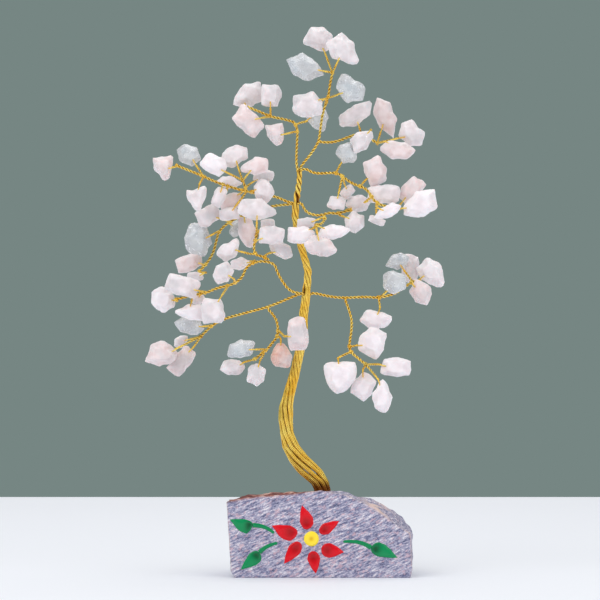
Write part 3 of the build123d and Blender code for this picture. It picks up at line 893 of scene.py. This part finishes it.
# %% The chips
# Which chips of a spray are clear, pink or white. The others are milky.
CLEAR_CHIPS = {"low_right": (0, 1), "low_left": (3,), "low_left_hanging": (1,), "upper_left": (1,),
               "mid_left": (1, 3), "right_upper": (0,), "crown_left": (4,), "crown": (2, 3)}
PINK_CHIPS = {"right_upper": (3, 7), "upper_left": (0, 3), "left_hub": (2,), "crown_left": (2, 3),
              "crown_right": (2, 4), "mid_left": (0, 4), "low_left": (0, 1), "low_right": (4,),
              "front": (3,), "low_left_hanging": (0,)}
WHITE_CHIPS = {"right_upper": (5, 8), "front": (1, 2), "left_hub": (0,), "upper_left": (6,),
               "arch": (0, 4, 6), "low_right": (3,), "low_right_hanging": (0, 1), "pendant_heart": (0,),
               "pendant_right_upper": (0,), "pendant_right_middle": (0,), "pendant_right_lowest": (0,)}
made = 0
for name in sorted(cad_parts):
    if not (name.endswith("_chips") or name.startswith("pendant_")):
        continue
    spray = name.replace("_chips", "")
    work, solids = solids_of(name)
    stones = []
    for number, solid in enumerate(solids):
        finish = milky
        if number in CLEAR_CHIPS.get(spray, ()):
            finish = clear
        elif number in PINK_CHIPS.get(spray, ()):
            finish = pink
        elif number in WHITE_CHIPS.get(spray, ()):
            finish = white
        elif name == "pendant_peach":
            finish = peach
        skin = pebble(solid, made)
        chip = tumbled(skin, grid=0.3, smooth=4, wave=260, depth=1.0, seed=made, finish=finish)
        stones.append(mark_rim(chip))
        made += 1
    work.free()
    body = name if name.startswith("pendant_") else "tree"
    slot = "peach_quartz" if name == "pendant_peach" else "rose_quartz"
    finished(f"{spray}_stones", merged(stones), body, slot, name)
print("chips:", made)

# %% [markdown]
# ## Stone block
# The block is an offcut of a streaky grey-lilac stone. Its front was sawn flat and its top and sides
# were broken, so the front keeps its plane and the rest is rough. The solid is covered with an even
# mesh, and each point is then pushed along its normal by a noise. How far depends on which way the
# surface faces, so the front and the underside stay flat.


# %% Stone finish
stone, tree, shader = new_finish("streaked stone")
streaks = speckle(tree, 1500, 8, (5, 2, 1), (0, -23, 0))
fine = speckle(tree, 3200, 6, (2.4, 1, 1), (0, -23, 0))
mixed = tree.nodes.new("ShaderNodeMath")
mixed.operation = "MULTIPLY_ADD"
mixed.inputs[1].default_value = 0.55
half = tree.nodes.new("ShaderNodeMath")
half.operation = "MULTIPLY"
half.inputs[1].default_value = 0.45
tree.links.new(fine, half.inputs[0])
tree.links.new(streaks, mixed.inputs[0])
tree.links.new(half.outputs[0], mixed.inputs[2])
sawn = ramp(tree, mixed.outputs[0], [(0.36, tint(70, 76, 107)), (0.44, tint(113, 115, 147)),
                                     (0.5, tint(150, 150, 176)), (0.56, tint(186, 182, 200)),
                                     (0.64, tint(232, 226, 230))])
specks = ramp(tree, speckle(tree, 1500, 3, (2, 1, 1), (0, -25, 0)), [(0.54, level(0)), (0.66, level(0.65))])
sawn = blend(tree, specks, sawn, tint(208, 172, 182))
sawn = blend(tree, mark_of(tree, "pale"), sawn, tint(230, 200, 186))
crust = ramp(tree, speckle(tree, 260, 6), [(0.38, tint(96, 42, 42)), (0.52, tint(142, 74, 66)),
                                           (0.66, tint(206, 170, 158))])
tree.links.new(blend(tree, mark_of(tree, "broken"), sawn, crust), shader.inputs["Base Color"])
shader.inputs["Roughness"].default_value = 0.62
relief(tree, shader, mixed.outputs[0], 0.3, 0.5 * MM)

print("finish:", stone.name)

# %% Stone block
work, _ = solids_of("stone_base")
shape = bpy.data.meshes.new("block")
work.to_mesh(shape)
work.free()
block = tumbled(shape, grid=0.55, smooth=1, wave=100, depth=0, seed=0, finish=stone)
broken, pale = [0] * len(block.vertices), [0] * len(block.vertices)
normals = [vertex.normal.copy() for vertex in block.vertices]
# In millimetres: where the brown crust on top ends and over what length it fades, and how far to the
# right of the middle the broken slope has a cream patch.
CRUST_END, CRUST_FADE = 6, 20
PALE_PATCH = 20
for vertex, normal in zip(block.vertices, normals):
    rough = max(1 - max(-normal.y, -normal.z, 0) * 1.3, 0)
    lump = noise.noise(vertex.co * 160) * 0.9 + noise.noise(vertex.co * 420) * 0.45
    vertex.co += normal * (rough * (lump - 0.6) * MM)
    top = max(normal.z, 0) * clamp((CRUST_END - vertex.co.x / MM) / CRUST_FADE)
    broken[vertex.index] = min(top * 1.6, 1)
    patch = exp(-((vertex.co.x / MM - PALE_PATCH) / 4) ** 2) * max(normal.z, 0)
    pale[vertex.index] = clamp(patch * (0.4 + 2.2 * noise.noise(vertex.co * 190)), 0, 0.8)
    # The edge round the front is paler, but not along the table.
    if normal.z > -0.3:
        rim = max(1 - abs(normal.y + 0.6) / 0.36, 0) * (0.6 + 1.1 * noise.noise(vertex.co * 300))
        pale[vertex.index] = max(pale[vertex.index], min(rim, 0.85))
block.attributes.new("broken", "FLOAT", "POINT").data.foreach_set("value", broken)
block.attributes.new("pale", "FLOAT", "POINT").data.foreach_set("value", pale)
finished("stone_block", block, "tree", "base_stone", "stone_base")
print("block faces:", len(block.polygons))

# %% [markdown]
# ## Painted flower
# The flower is a simple folk ornament in thick enamel. The brush was pressed down at one end of each
# petal and drawn away to a point, so a petal is a low dome with a dimple where it was pressed. Each
# stroke is a small grid: one way runs along the stroke, the other across it, and a rule gives its
# width and height. A number on each point of the grid says how deep it lies in the dimple, and the
# finish is darker there: painted shade in the dimple.


# %% Enamel finishes
def enamel(name, bright, dark):
    """A glossy paint with painted shade: it is darker where its dimple is deep."""
    finish, tree, shader = new_finish(name)
    colour = ramp(tree, mark_of(tree, "pressed"), [(0, bright), (1, dark)])
    tree.links.new(colour, shader.inputs["Base Color"])
    tree.links.new(ramp(tree, speckle(tree, 400, 2), [(0.3, level(0.16)), (0.7, level(0.26))]),
                   shader.inputs["Roughness"])
    shader.inputs["Specular IOR Level"].default_value = 0.3
    return finish


red = enamel("red enamel", tint(216, 6, 26), tint(164, 2, 12))
green = enamel("green enamel", tint(8, 138, 82), tint(2, 78, 44))
yellow = enamel("yellow enamel", tint(250, 222, 60), tint(222, 176, 30))
print("enamel:", red.name, green.name, yellow.name)


# %% Brush strokes
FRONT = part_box("petal_paint")[1].y
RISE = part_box("petal_paint")[1].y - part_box("petal_paint")[0].y
# A stroke has its full height where it is at least this wide on one side, in millimetres.
FULL_WIDTH = 1.4


def stroke(line, width_at, pressed_at, finish, along=30, across=14):
    """A domed stroke: line gives its middle, width_at its two half widths, from 0 at its start to 1."""
    points, dark, faces = [], [], []
    for i in range(along + 1):
        share = i / along
        spot, ahead = line(share), line(min(share + 0.01, 1)) - line(max(share - 0.01, 0))
        side = Vector((-ahead.y, ahead.x)).normalized()
        sides = width_at(share)
        for j in range(across + 1):
            off = -1 + 2 * j / across
            dip = pressed_at(share, off)
            half = sides[0] if off < 0 else sides[1]
            rise = RISE * sqrt(max(1 - off * off, 0)) * min(half / (FULL_WIDTH * MM), 1) * (1 - 0.55 * dip)
            place = spot + side * (half * off)
            points.append((place.x, FRONT - rise, place.y))
            # Painted shade: the deeper a point lies in the dimple, the darker its colour.
            dark.append(dip)
    for i in range(along):
        for j in range(across):
            a = i * (across + 1) + j
            faces.append((a, a + 1, a + across + 2, a + across + 1))
    shape = bpy.data.meshes.new("stroke")
    shape.from_pydata(points, [], faces)
    mark = shape.attributes.new("pressed", "FLOAT", "POINT")
    mark.data.foreach_set("value", dark)
    shape.materials.append(finish)
    shape.polygons.foreach_set("use_smooth", [True] * len(shape.polygons))
    return shape


def straight(begin, end):
    """The middle of a straight stroke."""
    return lambda share: begin.lerp(end, share)


def bowed(begin, bend, end):
    """The middle of a stroke that curves towards its bend."""
    return lambda share: begin.lerp(bend, share).lerp(bend.lerp(end, share), share)


def dimple(at, wide, long):
    """A round soft dip part of the way along a stroke."""
    return lambda share, off: exp(-((share - at) / long) ** 2 - (off / wide) ** 2)


def tear_drop(right, left, blunt=0.3):
    """The half widths of a petal: round at its start, drawn out to a point at its end."""
    def width_at(share):
        if share < blunt:
            size = sqrt(max(1 - ((blunt - share) / blunt) ** 2, 0))
        else:
            size = cos((share - blunt) / (1 - blunt) * pi / 2) ** 1.1
        ragged = [1 + 0.14 * noise.noise(Vector((5 * share, side / MM, blunt))) for side in (right, left)]
        return right * size * ragged[0], left * size * ragged[1]
    return width_at


print("paint rise, mm:", round(RISE / MM, 2))

# %% Petals
# Each petal, in millimetres on the front: its round start, its tip, and how wide it is to the right and
# to the left of the way to its tip.
PETALS = (((-4.7, 17.3), (-6.6, 26.0), 2.8, 1.9), ((-0.3, 16.2), (6.8, 20.4), 2.0, 2.0),
          ((0.3, 10.5), (8.5, 9.2), 2.7, 2.3), ((-2.9, 9.6), (-1.6, 1.5), 2.1, 2.3),
          ((-7.2, 12.7), (-13.0, 5.0), 2.3, 2.2), ((-8.1, 16.0), (-17.4, 18.7), 1.8, 3.6))
petals = []
for start, tip, right, left in PETALS:
    start, tip = Vector(start) * MM, Vector(tip) * MM
    petals.append(stroke(straight(start, tip), tear_drop(right * MM, left * MM, 0.34),
                         dimple(0.26, 0.8, 0.22), red))
finished("painted_petals", merged(petals), "tree", "red_enamel", "petal_paint")
print("petals:", len(petals))

# %% Flower centre
low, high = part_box("flower_centre_paint")
hub = Vector(((low.x + high.x) / 2, (low.z + high.z) / 2))
radius = (high.x - low.x) / 2
DISC_RINGS = 8
DISC_SIDES = 32
points, faces, dark = [], [], []
for ring in range(DISC_RINGS + 1):
    share = ring / DISC_RINGS
    for turn in range(DISC_SIDES):
        angle = 2 * pi * turn / DISC_SIDES
        wobble = 1 + 0.05 * noise.noise(Vector((cos(angle), sin(angle), 3)))
        dip = exp(-(share / 0.28) ** 2)
        rise = RISE * sqrt(max(1 - share ** 4, 0)) * (1 - 0.4 * dip)
        points.append((hub.x + radius * share * wobble * cos(angle), FRONT - rise,
                       hub.y + radius * share * wobble * sin(angle)))
        # Painted shade: the dipped middle of the disc is darker.
        dark.append(dip)
for ring in range(DISC_RINGS):
    for turn in range(DISC_SIDES):
        a, b = (ring * DISC_SIDES + step % DISC_SIDES for step in (turn, turn + 1))
        faces.append((a, b, b + DISC_SIDES, a + DISC_SIDES))
disc = bpy.data.meshes.new("flower centre")
disc.from_pydata(points, [], faces)
disc.attributes.new("pressed", "FLOAT", "POINT").data.foreach_set("value", dark)
disc.polygons.foreach_set("use_smooth", [True] * len(faces))
disc.materials.append(yellow)
finished("flower_centre", disc, "tree", "yellow_enamel", "flower_centre_paint")
print("flower centre radius, mm:", round(radius / MM, 2))

# %% Leaves
# Each leaf, in millimetres on the front: the stalk's start, bend and end, the leaf's tip, and how wide
# the leaf is to the right and to the left of the way to its tip.
LEAVES = (((-16.4, 15.9), (-19.6, 18.9), (-24.1, 18.8), (-32.4, 20.9), 1.4, 3.4),
          ((-15.2, 12.5), (-18.9, 11.9), (-21.8, 9.2), (-28.5, 2.9), 2.0, 2.6),
          ((8.0, 12.9), (14.2, 13.6), (18.1, 10.8), (27.7, 7.2), 2.0, 2.8))


def stalk_width(share):
    """The two half widths of a stalk: it starts at a point and gets wider towards its leaf."""
    return [(0.5 + 0.35 * share) * MM * min(share / 0.05, 1)] * 2


leaves = []
for *stalk, tip, right, left in LEAVES:
    begin, bend, root = (Vector(spot) * MM for spot in stalk)
    tip = Vector(tip) * MM
    leaves.append(stroke(bowed(begin, bend, root), stalk_width, lambda share, off: 0.15, green, 24, 8))
    leaves.append(stroke(straight(root, tip), tear_drop(right * MM, left * MM, 0.28),
                         dimple(0.16, 0.8, 0.16), green))
finished("painted_leaves", merged(leaves), "tree", "green_enamel", "leaf_paint")
print("strokes of the leaves:", len(leaves))

# %% [markdown]
# ## Glue
# The trunk is glued into a hole in the block. Only the glue's top shows, as a slightly glossy brown
# puddle between the wires, so the solid keeps its shape and just gets a finish.

# %% Glue
glue, tree, shader = new_finish("set glue")
tree.links.new(ramp(tree, speckle(tree, 300, 4), [(0.3, tint(92, 58, 30)), (0.7, tint(146, 104, 62))]),
               shader.inputs["Base Color"])
shader.inputs["Roughness"].default_value = 0.3
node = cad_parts["epoxy_fill"]
node.data.materials.clear()
node.data.materials.append(glue)
print("glue on:", node.name)

# %% [markdown]
# ## The size of the dressed tree
# The dressed tree has to stay the size of its solids. The box round the dressed tree is printed.

# %% Size
low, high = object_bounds()
print("box of the dressed tree, mm:", [round((b - a) / MM, 1) for a, b in zip(low, high)])
